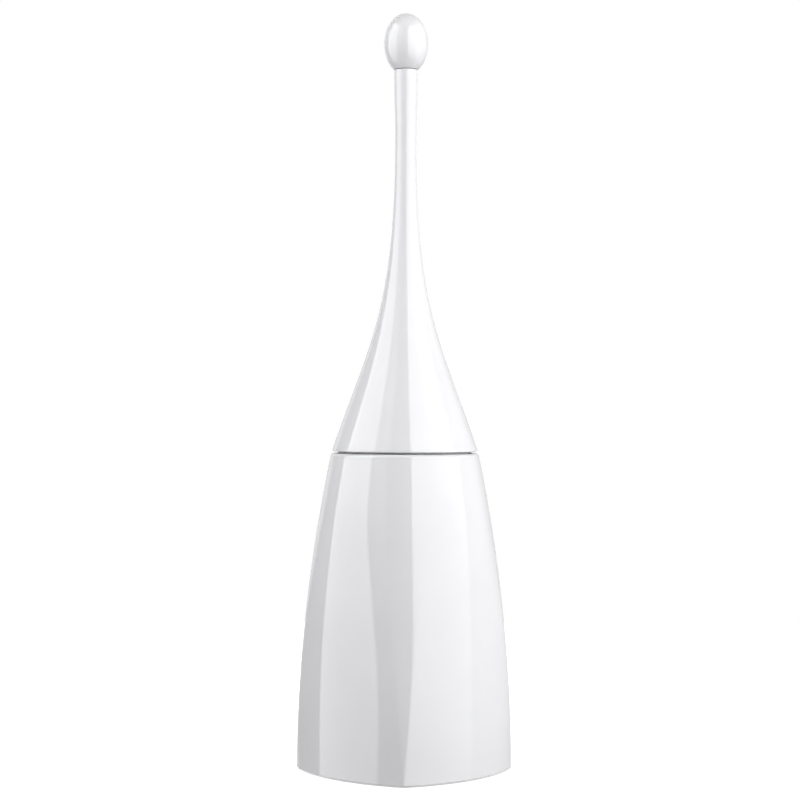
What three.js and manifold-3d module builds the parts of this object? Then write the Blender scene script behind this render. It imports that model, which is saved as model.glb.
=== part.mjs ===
// Free-standing toilet brush and holder: a round-topped holder whose lower half is pushed in
// by four bowed faces, a drip liner hanging in its mouth, and a brush whose hollow conical lid
// runs up into a slender handle with an egg-shaped knob.
// Millimetres, +Z up, standing on z = 0, axis on Z, the four faces looking along +-X and +-Y.
import * as THREE from "three";
import { mergeVertices } from "three/addons/utils/BufferGeometryUtils.js";
import Module from "manifold-3d";

const wasm = await Module();
wasm.setup();

// ---- Driving dimensions -------------------------------------------------------------------

const overallHeight = 480;
const touch = 0.3; // gap left between two pieces that bear on each other
const slip = 0.6; // gap round a piece that slides in by hand

// Holder
const holderHeight = 200.7; // floor to the top of the rim
const cornerReach = 68.2; // axis to a bottom corner
const rimReach = 46.8; // axis to the side at the rim, before the rim is rounded
const bellyDrop = 6; // the side is one arc, and is widest this far below the floor
const rimRounding = 2.5;
const shellWall = 3;
const faceDepth = 7.8; // how far the middle of each face is pushed in at the floor
const faceTop = 172; // height at which the faces have faded out
const cornerSpread = THREE.MathUtils.degToRad(13.3); // half width of a corner's round strip up there
const cornerEdge = THREE.MathUtils.degToRad(0.6); // and at the floor
const faceFadePower = 1.3;
const mouthDepth = 3.7; // rim down to the ledge that the liner hangs on
const ledgeWidth = 2.3;
const ledgeHeight = 3;

// Base plate, feet and screws
const footProud = 1; // the feet hold the shell this far off the floor
const footMargin = 3; // plate left between a foot and the corner
const footRecess = 1;
const plateRecess = 0.6;
const plateThickness = 2.5;
const skirtHeight = 8;
const skirtThickness = 2;
const pillarWall = 1.4; // left round the pocket of a screw head
const bossRadius = 4.5;
const bossBottom = 18;
const bossHeight = 16;
const ribThickness = 2;
const screwRadius = 1.5;
const screwLength = 22;
const screwHeadRadius = 3.5;
const screwHeadHeight = 2.2;
const screwSeat = 7; // floor to the shoulder that the screw head pulls on

// Drip liner
const linerWall = 1.6;
const linerDraft = 2; // radius lost from mouth to floor
const linerClear = 8; // floor to the underside of the liner
const linerFlange = 1.6;
const linerRounding = 5;

// Lid and handle, one hollow moulding
const lidGap = 1.1; // shadow gap between rim and lid
const lidStep = 0.34; // the lid is this much narrower than the rim below it
const lidEdge = 0.8;
const lidSlope = 0.338; // radius lost per millimetre of height at the lid's edge
const coneShare = 0.342; // share of the cone's height over which that slope holds
const neckShare = 0.552; // share of it, below the waist, over which the handle turns upright
const waistRadius = 6.64;
const waistDrop = 45; // top of the handle down to its thinnest place
const handleTopRadius = 7.38;
const collarLength = 7; // straight stretch at the top of the handle
const handleWall = 2.5;

// Knob
const knobRadius = 13.95;
const knobHalfHeight = 19.5;
const knobRise = 36; // how far the knob stands above the handle
const knobSpigot = 10;

// Core rod and its two brass inserts
const rodRadius = 2.4;
const insertWall = 1.8;
const insertLength = 14;
const rodEngagement = 12;

// Lid plate and seat ring
const lidPlateThickness = 2.4;
const lidPlateSeat = 2.6; // the lid's wall left outside the plate
const spigotDepth = 10;
const spigotWall = 1.5;
const hubRadius = 9;
const hubHeight = 7.5;
const seatRingWidth = 3;

// Stem and brush head
const stemRadius = 6;
const stemCollarRadius = 11;
const stemFlare = 12;
const stemSpigotWall = 1.2;
const headLength = 75;
const tipClear = 2.4; // end tufts to the liner's floor
const bristleClear = 1.7; // tips to the liner's wall at its narrowest
const coreRadius = 10.5;
const coreDome = 8;
const coreNeck = 8;
const socketRadius = 4.3;
const socketDepth = 22;
const rowCount = 6;
const firstRowRise = 12; // foot of the core to the lowest row
const lastRowDrop = 13; // top of the core to the highest row
const rowGap = 0.8;
const rowRootHalf = 1.6;
const rowBarrel = 4.5; // the outer rows are this much shorter than the middle ones
const tipDrop = 10; // how far the end tufts reach below the core
const tipInset = 7; // the end tufts are this much narrower than the rows

const turns = 32; // segments round a round piece
const smallTurns = 16;

// ---- Values worked out from them ----------------------------------------------------------

const bellyRise = holderHeight + bellyDrop;
const bellyFall = cornerReach - rimReach;
const bellyRadius = (bellyRise ** 2 + bellyFall ** 2) / (2 * bellyFall);
const ledgeTop = holderHeight - mouthDepth;
const lidBottom = holderHeight + lidGap;
const lidPlateBottom = lidBottom + touch;
const flangeBottom = ledgeTop + touch;
const flangeTop = flangeBottom + linerFlange;
const mouthRadius = rimReach - rimRounding - 1.3;
const ledgeRadius = mouthRadius - ledgeWidth;
const flangeRadius = mouthRadius - slip;
const linerRadius = ledgeRadius - slip;
const linerBore = linerRadius - linerWall;
const spigotRadius = linerBore - 2 * slip;
const lidReach = rimReach - lidStep;
const handleTop = overallHeight - knobRise;
const waistHeight = handleTop - waistDrop;
const collarHeight = handleTop - collarLength;
const coneHeight = waistHeight - lidBottom;
const handleBore = waistRadius - handleWall;
const rodBore = rodRadius + touch;
const insertRadius = rodBore + insertWall - 2 * touch;
const stemBore = insertRadius + touch;
const stemSpigotRadius = stemBore + stemSpigotWall;
const stemTop = lidPlateBottom + lidPlateThickness + hubHeight;
const plateBottom = footProud + plateRecess;
const plateTop = plateBottom + plateThickness;
const plateReach = cornerReach - shellWall - slip; // axis to a corner of the base plate
const linerFoot = linerRadius - linerDraft;
const screwReach = (linerFoot + plateReach) / 2; // midway, on the diagonals
const pillarRadius = screwHeadRadius + slip + pillarWall;
const footRadius = plateReach - footMargin - screwReach;
const headBottom = linerClear + linerWall + tipClear + tipDrop;
const headTop = headBottom + headLength;
const brushRadius = linerBore - linerDraft - bristleClear;
const tipRadius = brushRadius - tipInset;
const firstRow = headBottom + firstRowRise;
const rowPitch = (headLength - firstRowRise - lastRowDrop) / (rowCount - 1);
const rowTipHalf = (rowPitch - rowGap) / 2;
const screwSpots = [45, 135, 225, 315].map((degrees) => THREE.MathUtils.degToRad(degrees));

// ---- Solids -------------------------------------------------------------------------------

function solidOf(geometry) {
  const bare = geometry.clone();
  bare.deleteAttribute("normal");
  bare.deleteAttribute("uv");
  const merged = mergeVertices(bare, 1e-4);
  return new wasm.Manifold(
    new wasm.Mesh({
      numProp: 3,
      vertProperties: new Float32Array(merged.attributes.position.array),
      triVerts: new Uint32Array(merged.index.array),
    }),
  );
}

function geometryOf(solid) {
  const mesh = solid.getMesh();
  const geometry = new THREE.BufferGeometry();
  geometry.setAttribute("position", new THREE.BufferAttribute(mesh.vertProperties, 3));
  geometry.setIndex(new THREE.BufferAttribute(mesh.triVerts, 1));
  geometry.computeVertexNormals();
  return geometry;
}

const corner = (radius, height) => new THREE.Vector2(radius, height);

// An outline of [radius, height] corners, turned round Z. It runs out, up and back in.
function turned(outline, segments = turns) {
  return new THREE.LatheGeometry(outline, segments).rotateX(Math.PI / 2);
}

function ring(innerRadius, outerRadius, bottom, top, segments = turns) {
  const outline = [
    corner(innerRadius, bottom),
    corner(outerRadius, bottom),
    corner(outerRadius, top),
    corner(innerRadius, top),
    corner(innerRadius, bottom),
  ];
  return turned(outline, segments);
}

function disc(radius, bottom, top, segments = smallTurns) {
  const height = top - bottom;
  const geometry = new THREE.CylinderGeometry(radius, radius, height, segments);
  return geometry.rotateX(Math.PI / 2).translate(0, 0, bottom + height / 2);
}

function atScrew(geometry, angle) {
  const x = screwReach * Math.cos(angle);
  const y = screwReach * Math.sin(angle);
  return geometry.translate(x, y, 0);
}

// ---- The holder's outside: a bellied round body with four faces pushed into it -------------

function bodyRadius(height) {
  const rise = height + bellyDrop;
  return cornerReach - (bellyRadius - Math.sqrt(bellyRadius ** 2 - rise ** 2));
}

// The face at this height is an arc of radius `bow` about a centre `back` behind the axis.
// It meets the round body at the angle `edge` either side of the face's middle.
function faceAt(height, inset) {
  const share = THREE.MathUtils.clamp(height / faceTop, 0, 1);
  const depth = faceDepth * Math.cos((share * Math.PI) / 2) ** faceFadePower;
  const body = bodyRadius(height);
  const wanted = Math.PI / 4 - Math.max(cornerEdge, cornerSpread * share);
  if (depth < 1e-4) return { edge: wanted, back: 0, bow: body - inset };
  const middle = body - depth;
  const reach = body * Math.cos(wanted);
  const back = (body ** 2 - middle ** 2) / (2 * (middle - reach));
  const bow = middle + back - inset;
  const round = body - inset;
  const cosine = (bow ** 2 - round ** 2 - back ** 2) / (2 * back * round);
  return { edge: Math.min(Math.acos(cosine), Math.PI / 4 - cornerEdge), back, bow };
}

const faceColumns = 6;
const cornerColumns = 2;
const sideColumns = faceColumns + cornerColumns;
const columns = 4 * sideColumns;
const faceFollowDepth = 9; // points this close to the body's outside take the faces' shape

// Angle and radius of one column of a piece's outline, at a height, inset from the outside.
function sectionPoint(column, height, inset) {
  const { edge, back, bow } = faceAt(height, inset);
  const side = Math.floor(column / sideColumns);
  const step = column % sideColumns;
  const onFace = step <= faceColumns;
  const offFace = Math.PI / 2 - 2 * edge;
  const turn = onFace
    ? -edge + (2 * edge * step) / faceColumns
    : edge + (offFace * (step - faceColumns)) / cornerColumns;
  const round = bodyRadius(height) - inset;
  const bowed = Math.sqrt(bow ** 2 - (back * Math.sin(turn)) ** 2) - back * Math.cos(turn);
  return { angle: (side * Math.PI) / 2 + turn, radius: onFace ? Math.min(round, bowed) : round };
}

// Turns an outline as `turned` does, and gives its outer points the four faces.
function faced(outline) {
  const geometry = new THREE.LatheGeometry(outline, columns);
  const position = geometry.getAttribute("position");
  for (let i = 0; i < position.count; i++) {
    const column = Math.floor(i / outline.length) % columns;
    const { x: radius, y: height } = outline[i % outline.length];
    const inset = bodyRadius(height) - radius;
    const follows = inset < faceFollowDepth;
    const point = sectionPoint(column, height, follows ? inset : 0);
    const out = follows ? point.radius : radius;
    position.setXYZ(i, out * Math.sin(point.angle), height, out * Math.cos(point.angle));
  }
  return geometry.rotateX(Math.PI / 2);
}

// The body's side between two heights, inset from the outside.
function sidePoints(from, to, inset, steps) {
  const points = [];
  for (let i = 0; i <= steps; i++) {
    const height = from + ((to - from) * i) / steps;
    points.push(corner(bodyRadius(height) - inset, height));
  }
  return points;
}

function arcPoints(centreRadius, centreHeight, size, from, to, steps) {
  const arc = new THREE.EllipseCurve(centreRadius, centreHeight, size, size, from, to, to < from);
  return arc.getPoints(steps);
}

// ---- Holder pieces ------------------------------------------------------------------------

function holderShell() {
  const sideTop = holderHeight - rimRounding;
  const rimCentre = bodyRadius(sideTop) - rimRounding;
  const ledgeFoot = ledgeTop - ledgeHeight;
  const flareFoot = ledgeFoot - (bodyRadius(ledgeFoot) - shellWall - ledgeRadius);
  const outline = [
    ...sidePoints(footProud, sideTop, 0, 11),
    ...arcPoints(rimCentre, sideTop, rimRounding, 0, Math.PI / 2, 4).slice(1),
    corner(mouthRadius, holderHeight),
    corner(mouthRadius, ledgeTop),
    corner(ledgeRadius, ledgeTop),
    corner(ledgeRadius, ledgeFoot),
    ...sidePoints(flareFoot, footProud, shellWall, 7),
    corner(cornerReach, footProud),
  ];
  outline[outline.length - 1] = outline[0].clone();
  let shell = solidOf(faced(outline));
  const cornerInside = bodyRadius(bossBottom) - shellWall;
  for (const angle of screwSpots) {
    const boss = atScrew(disc(bossRadius, bossBottom, bossBottom + bossHeight), angle);
    const ribLength = cornerInside + shellWall / 2 - screwReach;
    const rib = new THREE.BoxGeometry(ribLength, ribThickness, bossHeight)
      .translate(screwReach + ribLength / 2, 0, bossBottom + bossHeight / 2)
      .rotateZ(angle);
    const holeTop = screwSeat + screwLength + 1;
    const hole = atScrew(disc(screwRadius + touch, bossBottom - 1, holeTop), angle);
    shell = shell.add(solidOf(boss)).add(solidOf(rib)).subtract(solidOf(hole));
  }
  return geometryOf(shell);
}

function basePlate() {
  const outside = shellWall + slip;
  const inside = outside + skirtThickness;
  const skirtTop = plateTop + skirtHeight;
  const outline = [
    corner(0, plateBottom),
    corner(bodyRadius(plateBottom) - outside, plateBottom),
    corner(bodyRadius(skirtTop) - outside, skirtTop),
    corner(bodyRadius(skirtTop) - inside, skirtTop),
    corner(bodyRadius(plateTop) - inside, plateTop),
    corner(0, plateTop),
  ];
  // Half way through the skirt: the webs between pillars and skirt end there.
  const webInset = outside + skirtThickness / 2;
  const webLimit = solidOf(
    faced([
      corner(0, plateBottom),
      corner(bodyRadius(plateBottom) - webInset, plateBottom),
      corner(bodyRadius(skirtTop) - webInset, skirtTop),
      corner(0, skirtTop),
    ]),
  );
  const webLength = cornerReach - screwReach;
  const webBottom = plateTop - 1;
  let plate = solidOf(faced(outline));
  for (const angle of screwSpots) {
    const pillar = disc(pillarRadius, webBottom, bossBottom - touch);
    const web = new THREE.BoxGeometry(webLength, 2 * pillarRadius, skirtTop - webBottom)
      .translate(screwReach + webLength / 2, 0, (skirtTop + webBottom) / 2)
      .rotateZ(angle);
    const recess = disc(footRadius + touch, plateBottom - 1, plateBottom + footRecess);
    const counterbore = disc(screwHeadRadius + slip, plateBottom - 1, screwSeat);
    const hole = disc(screwRadius + slip, plateBottom - 1, bossBottom + 1);
    plate = plate.add(solidOf(atScrew(pillar, angle)));
    plate = plate.add(solidOf(web).intersect(webLimit));
    for (const cut of [recess, counterbore, hole]) {
      plate = plate.subtract(solidOf(atScrew(cut, angle)));
    }
  }
  return geometryOf(plate);
}

function foot(angle) {
  return atScrew(disc(footRadius, 0, plateBottom + footRecess - touch), angle);
}

function baseScrew(angle) {
  const headTopAt = screwSeat - touch;
  const headFoot = headTopAt - screwHeadHeight;
  const outline = [
    corner(0, headFoot),
    corner(screwHeadRadius * 0.7, headFoot),
    corner(screwHeadRadius, headFoot + screwHeadHeight / 2),
    corner(screwHeadRadius, headTopAt),
    corner(screwRadius, headTopAt),
    corner(screwRadius, headTopAt + screwLength - 2 * screwRadius),
    corner(0, headTopAt + screwLength),
  ];
  return atScrew(turned(outline, 12), angle);
}

function dripLiner() {
  const bottom = linerClear;
  const quarter = Math.PI / 2;
  const centre = linerFoot - linerRounding;
  const insideCentre = centre - linerWall;
  const insideHeight = bottom + linerWall + linerRounding;
  const outline = [
    corner(0, bottom),
    ...arcPoints(centre, bottom + linerRounding, linerRounding, -quarter, 0, 4),
    corner(linerRadius, flangeBottom),
    corner(flangeRadius, flangeBottom),
    corner(flangeRadius, flangeTop),
    corner(linerBore, flangeTop),
    ...arcPoints(insideCentre, insideHeight, linerRounding, 0, -quarter, 4),
    corner(0, bottom + linerWall),
  ];
  return turned(outline);
}

// ---- Lid, handle and knob -----------------------------------------------------------------

const coneCurve = new THREE.CubicBezierCurve(
  corner(lidReach, lidBottom),
  corner(lidReach - lidSlope * coneShare * coneHeight, lidBottom + coneShare * coneHeight),
  corner(waistRadius, waistHeight - neckShare * coneHeight),
  corner(waistRadius, waistHeight),
);
const collarCurve = new THREE.CubicBezierCurve(
  corner(waistRadius, waistHeight),
  corner(waistRadius, waistHeight + (collarHeight - waistHeight) * 0.4),
  corner(handleTopRadius, collarHeight - (collarHeight - waistHeight) * 0.3),
  corner(handleTopRadius, collarHeight),
);

// Radius of the lid's outside at a height near its lower edge.
function lidRadius(height) {
  return lidReach - lidSlope * (height - lidBottom);
}

function handleCone() {
  const plateSeat = lidPlateBottom + lidPlateThickness + touch;
  const plateBore = lidReach - lidPlateSeat;
  const cone = coneCurve.getSpacedPoints(13);
  const inner = cone
    .filter((point) => point.y > plateSeat + 2)
    .map((point) => corner(point.x - handleWall, point.y))
    .reverse();
  const outline = [
    corner(plateBore, lidBottom),
    corner(lidReach - lidEdge, lidBottom),
    corner(lidRadius(lidBottom + lidEdge), lidBottom + lidEdge),
    ...cone.slice(1),
    ...collarCurve.getPoints(4).slice(1),
    corner(handleTopRadius, handleTop - lidEdge / 2),
    corner(handleTopRadius - lidEdge / 2, handleTop),
    corner(handleBore, handleTop),
    ...inner,
    corner(lidRadius(plateSeat) - handleWall, plateSeat),
    corner(plateBore, plateSeat),
    corner(plateBore, lidBottom),
  ];
  return turned(outline);
}

const knobCentre = overallHeight - knobHalfHeight;
const knobBottom = handleTop + touch;
const knobInsertBottom = knobBottom + 6;

function knob() {
  const cut = Math.asin((knobBottom - knobCentre) / knobHalfHeight);
  const quarter = Math.PI / 2;
  const egg = new THREE.EllipseCurve(0, knobCentre, knobRadius, knobHalfHeight, cut, quarter);
  const pocket = insertRadius + touch;
  const pocketTop = knobInsertBottom + insertLength + 2 * touch;
  const spigot = handleBore - touch;
  const outline = [
    corner(0, knobBottom - knobSpigot),
    corner(spigot, knobBottom - knobSpigot),
    corner(spigot, knobBottom),
    ...egg.getPoints(10).slice(0, -1),
    corner(0, overallHeight),
  ];
  const hollow = [
    corner(0, knobBottom - knobSpigot - 1),
    corner(rodBore, knobBottom - knobSpigot - 1),
    corner(rodBore, knobInsertBottom - touch),
    corner(pocket, knobInsertBottom - touch),
    corner(pocket, pocketTop),
    corner(0, pocketTop),
  ];
  return geometryOf(solidOf(turned(outline, 24)).subtract(solidOf(turned(hollow, smallTurns))));
}

function insert(bottom) {
  return ring(rodBore, insertRadius, bottom, bottom + insertLength, smallTurns);
}

const stemInsertBottom = stemTop - insertLength;
const rodBottom = stemTop - rodEngagement;
const rodTop = knobInsertBottom + rodEngagement;

// ---- Lid plate, seat ring, stem -----------------------------------------------------------

function lidPlate() {
  const hole = stemSpigotRadius + touch;
  const top = lidPlateBottom + lidPlateThickness;
  const edge = lidReach - lidPlateSeat - touch;
  const spigotInside = spigotRadius - spigotWall;
  const spigotFoot = lidPlateBottom - spigotDepth;
  const outline = [
    corner(hole, lidPlateBottom),
    corner(spigotInside, lidPlateBottom),
    corner(spigotInside, spigotFoot),
    corner(spigotRadius, spigotFoot),
    corner(spigotRadius, lidPlateBottom),
    corner(edge, lidPlateBottom),
    corner(edge, top),
    corner(hubRadius, top),
    corner(hubRadius, top + hubHeight),
    corner(hole, top + hubHeight),
    corner(hole, lidPlateBottom),
  ];
  return turned(outline);
}

function seatRing() {
  const outer = flangeRadius - touch;
  return ring(outer - seatRingWidth, outer, flangeTop + touch, lidPlateBottom - touch);
}

function stem() {
  const shoulder = lidPlateBottom - touch;
  const foot = headTop + touch;
  const spigotFoot = headTop - socketDepth + touch;
  const spigot = socketRadius - touch;
  const flare = new THREE.CubicBezierCurve(
    corner(stemRadius, shoulder - stemFlare),
    corner(stemRadius, shoulder - stemFlare / 2),
    corner(stemCollarRadius, shoulder - stemFlare / 2),
    corner(stemCollarRadius, shoulder - 1),
  );
  const outline = [
    corner(0, spigotFoot),
    corner(spigot, spigotFoot),
    corner(spigot, foot),
    corner(stemRadius, foot),
    ...flare.getPoints(6),
    corner(stemCollarRadius, shoulder),
    corner(stemSpigotRadius, shoulder),
    corner(stemSpigotRadius, stemTop),
    corner(stemBore, stemTop),
    corner(stemBore, stemInsertBottom - touch),
    corner(0, stemInsertBottom - touch),
  ];
  return turned(outline, smallTurns);
}

// ---- Brush head ---------------------------------------------------------------------------

const domeCentre = headBottom + coreDome;

function brushCore() {
  const dome = new THREE.EllipseCurve(0, domeCentre, coreRadius, coreDome, -Math.PI / 2, 0);
  const outline = [
    corner(0, headBottom),
    ...dome.getPoints(4).slice(1),
    corner(coreRadius, headTop - 8),
    corner(coreNeck, headTop - 2),
    corner(coreNeck, headTop),
    corner(socketRadius, headTop),
    corner(socketRadius, headTop - socketDepth),
    corner(0, headTop - socketDepth),
  ];
  return turned(outline, 24);
}

// One row of tufts: narrow at the core, spread at the tips, and shorter towards the ends.
function bristleRow(row) {
  const height = firstRow + row * rowPitch;
  const fromMiddle = (2 * row) / (rowCount - 1) - 1;
  const tip = brushRadius - rowBarrel * fromMiddle ** 2;
  const root = coreRadius + touch;
  const outline = [
    corner(root, height - rowRootHalf),
    corner(tip, height - rowTipHalf),
    corner(tip, height + rowTipHalf),
    corner(root, height + rowRootHalf),
    corner(root, height - rowRootHalf),
  ];
  return turned(outline, 24);
}

// The tufts in the rounded end of the core, splayed out and down.
function bristleTip() {
  const bottom = headBottom - tipDrop;
  const top = firstRow - rowTipHalf + rowGap / 2 - 2 * rowGap;
  const width = coreRadius + touch;
  const depth = coreDome + touch;
  const quarter = Math.PI / 2;
  const dome = new THREE.EllipseCurve(0, domeCentre, width, depth, 0, -quarter, true);
  const end = new THREE.EllipseCurve(0, top, tipRadius, top - bottom, -quarter, 0);
  const outline = [
    corner(0, bottom),
    ...end.getPoints(5).slice(1),
    ...dome.getPoints(4).slice(0, -1),
    corner(0, headBottom - touch),
  ];
  return turned(outline, 24);
}

// ---- Materials ----------------------------------------------------------------------------

const material = (color, roughness, metalness = 0) =>
  new THREE.MeshStandardMaterial({ color, roughness, metalness });

const glossWhite = material(0xf1f1ef, 0.12);
const satinWhite = material(0xebebe8, 0.35);
const linerWhite = material(0xe6e8e8, 0.3);
const bristleWhite = material(0xf4f4f2, 0.6);
const softGrey = material(0xc9cac8, 0.7);
const footGrey = material(0x8f9190, 0.85);
const zinc = material(0xb9bcbe, 0.35, 1);
const brass = material(0xc9a55a, 0.3, 1);

// ---- Assembly -----------------------------------------------------------------------------

const part = new THREE.Group();

function place(name, geometry, finish) {
  const mesh = new THREE.Mesh(geometry, finish);
  mesh.name = name;
  part.add(mesh);
}

place("holder_shell", holderShell(), glossWhite);
place("base_plate", basePlate(), satinWhite);
screwSpots.forEach((angle, i) => {
  place(`foot_${i + 1}`, foot(angle), footGrey);
  place(`base_screw_${i + 1}`, baseScrew(angle), zinc);
});
place("drip_liner", dripLiner(), linerWhite);
place("seat_ring", seatRing(), softGrey);
place("handle_cone", handleCone(), glossWhite);
place("knob", knob(), glossWhite);
place("knob_insert", insert(knobInsertBottom), brass);
place("core_rod", disc(rodRadius, rodBottom, rodTop, 12), zinc);
place("lid_plate", lidPlate(), satinWhite);
place("stem", stem(), satinWhite);
place("stem_insert", insert(stemInsertBottom), brass);
place("brush_core", brushCore(), satinWhite);
for (let row = 0; row < rowCount; row++) {
  place(`bristle_row_${row + 1}`, bristleRow(row), bristleWhite);
}
place("bristle_tip", bristleTip(), bristleWhite);

export default part;
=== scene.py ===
import math

import bmesh
import bpy
import numpy as np
from bpy.props import FloatProperty, FloatVectorProperty, IntProperty, PointerProperty
from mathutils import Matrix, Vector


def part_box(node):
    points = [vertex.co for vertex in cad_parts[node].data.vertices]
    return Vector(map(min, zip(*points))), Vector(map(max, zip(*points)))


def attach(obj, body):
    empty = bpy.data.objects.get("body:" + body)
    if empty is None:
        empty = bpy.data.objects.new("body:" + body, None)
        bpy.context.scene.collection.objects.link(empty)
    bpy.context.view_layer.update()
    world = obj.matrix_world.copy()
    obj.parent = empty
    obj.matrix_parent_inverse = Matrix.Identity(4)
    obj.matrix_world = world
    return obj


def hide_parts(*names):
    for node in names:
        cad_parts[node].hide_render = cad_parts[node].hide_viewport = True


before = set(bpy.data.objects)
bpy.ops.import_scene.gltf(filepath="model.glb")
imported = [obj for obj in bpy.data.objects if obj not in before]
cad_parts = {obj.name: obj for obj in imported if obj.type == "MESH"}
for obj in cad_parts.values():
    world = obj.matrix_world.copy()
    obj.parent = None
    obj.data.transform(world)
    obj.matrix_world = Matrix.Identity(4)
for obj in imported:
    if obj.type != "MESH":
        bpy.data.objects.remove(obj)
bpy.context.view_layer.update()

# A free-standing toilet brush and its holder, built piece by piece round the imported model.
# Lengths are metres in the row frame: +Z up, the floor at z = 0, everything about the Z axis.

bl_info = {
    "name": "Toilet Brush and Holder",
    "version": (1, 0, 0),
    "blender": (4, 5, 0),
    "location": "View3D > Sidebar > Brush Set",
    "description": "Builds a toilet brush, its drip liner and its four-cornered holder",
    "category": "Add Mesh",
}

MM = 0.001
TOUCH = 0.3 * MM  # gap between two pieces that bear on each other
BAND = 0.1 * MM  # how far to each side of a height a CAD node is read
QUARTER = math.pi / 2
FINE = 192  # segments round a large piece
TINY = 1e-9  # a radius below this is on the axis
SCREWS = [f"base_screw_{number}" for number in range(1, 5)]


# ---- Reading sizes from the frame ---------------------------------------------------------

def radii(node, low=-1.0, high=1.0):
    """Distances from the upright axis of a CAD node's points between two heights."""
    points = [v.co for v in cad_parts[node].data.vertices]
    return [math.hypot(p.x, p.y) for p in points if low <= p.z <= high]


def reach(node, low=-1.0, high=1.0):
    return max(radii(node, low, high))


def bore(node, low=-1.0, high=1.0):
    return min(radii(node, low, high))


def reach_at(node, height):
    return reach(node, height - BAND, height + BAND)


def bore_at(node, height):
    return bore(node, height - BAND, height + BAND)


def bottom(node):
    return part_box(node)[0].z


def top(node):
    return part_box(node)[1].z


def centre(node):
    low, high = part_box(node)
    return (low + high) / 2


# ---- Outlines and turned bodies -----------------------------------------------------------

ROUNDING_ROOM = 0.46  # most of a side that the rounding at one of its ends may take
GUARD = 1.3  # where the flat beside a rounding is held, in lengths of the rounding


def soften(corners, steps=5):
    """Rounds the corners of an outline.

    A corner is its radius and height, and after them its rounding if it has one.
    """
    outline = []
    count = len(corners)
    closed = corners[0][0] > 0 and corners[-1][0] > 0
    for i, corner in enumerate(corners):
        here = Vector(corner[:2])
        rounding = corner[2] if len(corner) > 2 else 0
        if not rounding or (not closed and i in (0, count - 1)):
            outline.append(here)
            continue
        before = Vector(corners[i - 1][:2]) - here
        after = Vector(corners[(i + 1) % count][:2]) - here
        half = before.angle(after) / 2
        room = ROUNDING_ROOM * min(before.length, after.length)
        cut = min(rounding / math.tan(half), room)
        start = here + before.normalized() * cut
        end = here + after.normalized() * cut
        # One more point on each side holds the flat next to the rounding.
        if GUARD * cut < room:
            outline.append(here + before.normalized() * GUARD * cut)
        for step in range(steps + 1):
            t = step / steps
            outline.append(start * (1 - t) ** 2 + here * 2 * t * (1 - t) + end * t**2)
        if GUARD * cut < room:
            outline.append(here + after.normalized() * GUARD * cut)
    return outline


def bezier(a, b, c, d, steps):
    """Points on a cubic curve, ends included."""
    a, b, c, d = map(Vector, (a, b, c, d))
    points = []
    for step in range(steps + 1):
        t = step / steps
        s = 1 - t
        points.append(a * s**3 + b * 3 * s * s * t + c * 3 * s * t * t + d * t**3)
    return points


def ellipse(radius, height, wide, tall, start, end, steps):
    """Points on an upright ellipse from one angle to another, ends included."""
    turns = [start + (end - start) * step / steps for step in range(steps + 1)]
    return [Vector((radius + wide * math.cos(t), height + tall * math.sin(t))) for t in turns]


def round_column(column, radius, height, columns):
    return math.tau * column / columns, radius


def turned(name, outline, columns=FINE, shape=round_column):
    """Turns an outline about the upright axis into a closed body.

    An outline with its ends off the axis closes on itself. `shape` gives the angle and
    radius of a column's point, so that a body may be other than round.
    """
    closed = outline[0][0] > TINY and outline[-1][0] > TINY
    points, rings = [], []
    for radius, height in outline:
        if radius < TINY:
            rings.append([len(points)] * columns)
            points.append((0, 0, height))
            continue
        rings.append(list(range(len(points), len(points) + columns)))
        for column in range(columns):
            angle, r = shape(column, radius, height, columns)
            points.append((r * math.cos(angle), r * math.sin(angle), height))
    faces = []
    for i in range(len(rings) if closed else len(rings) - 1):
        lower, upper = rings[i], rings[(i + 1) % len(rings)]
        for column in range(columns):
            beside = (column + 1) % columns
            loop = [lower[column], lower[beside], upper[beside], upper[column]]
            loop = list(dict.fromkeys(loop))
            if len(loop) > 2:
                faces.append(loop)
    return body(name, points, faces)


def body(name, points, faces):
    """A smooth-shaded mesh object from points and faces, with its faces pointing out."""
    mesh = bpy.data.meshes.new(name)
    mesh.from_pydata([tuple(p) for p in points], [], faces)
    work = bmesh.new()
    work.from_mesh(mesh)
    bmesh.ops.recalc_face_normals(work, faces=work.faces)
    work.to_mesh(mesh)
    work.free()
    piece = bpy.data.objects.new(name, mesh)
    bpy.context.scene.collection.objects.link(piece)
    smooth(piece)
    return piece


SHARP_EDGE = math.radians(50)


def smooth(piece):
    piece.data.polygons.foreach_set("use_smooth", [True] * len(piece.data.polygons))
    piece.data.set_sharp_from_angle(angle=SHARP_EDGE)


def combine(piece, tools, operation):
    """Joins tools to a piece (UNION) or cuts them from it (DIFFERENCE), and removes them."""
    for tool in tools:
        step = piece.modifiers.new(operation.title(), "BOOLEAN")
        step.operation = operation
        step.solver = "EXACT"
        step.object = tool
    depsgraph = bpy.context.evaluated_depsgraph_get()
    old = piece.data
    piece.data = bpy.data.meshes.new_from_object(piece.evaluated_get(depsgraph))
    piece.data.name = piece.name
    piece.modifiers.clear()
    bpy.data.meshes.remove(old)
    for tool in tools:
        bpy.data.meshes.remove(tool.data)
    smooth(piece)
    return piece


def block(size, place, angle=0.0):
    """A box of a size, centred on a place and then turned about the upright axis."""
    corners = [(x, y, z) for x in (-0.5, 0.5) for y in (-0.5, 0.5) for z in (-0.5, 0.5)]
    turn = Matrix.Rotation(angle, 3, "Z")
    scaled = [Vector(c) * Vector(size) + Vector(place) for c in corners]
    faces = [(0, 1, 3, 2), (4, 6, 7, 5), (0, 4, 5, 1), (2, 3, 7, 6), (0, 2, 6, 4), (1, 5, 7, 3)]
    return body("block", [turn @ p for p in scaled], faces)


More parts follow.
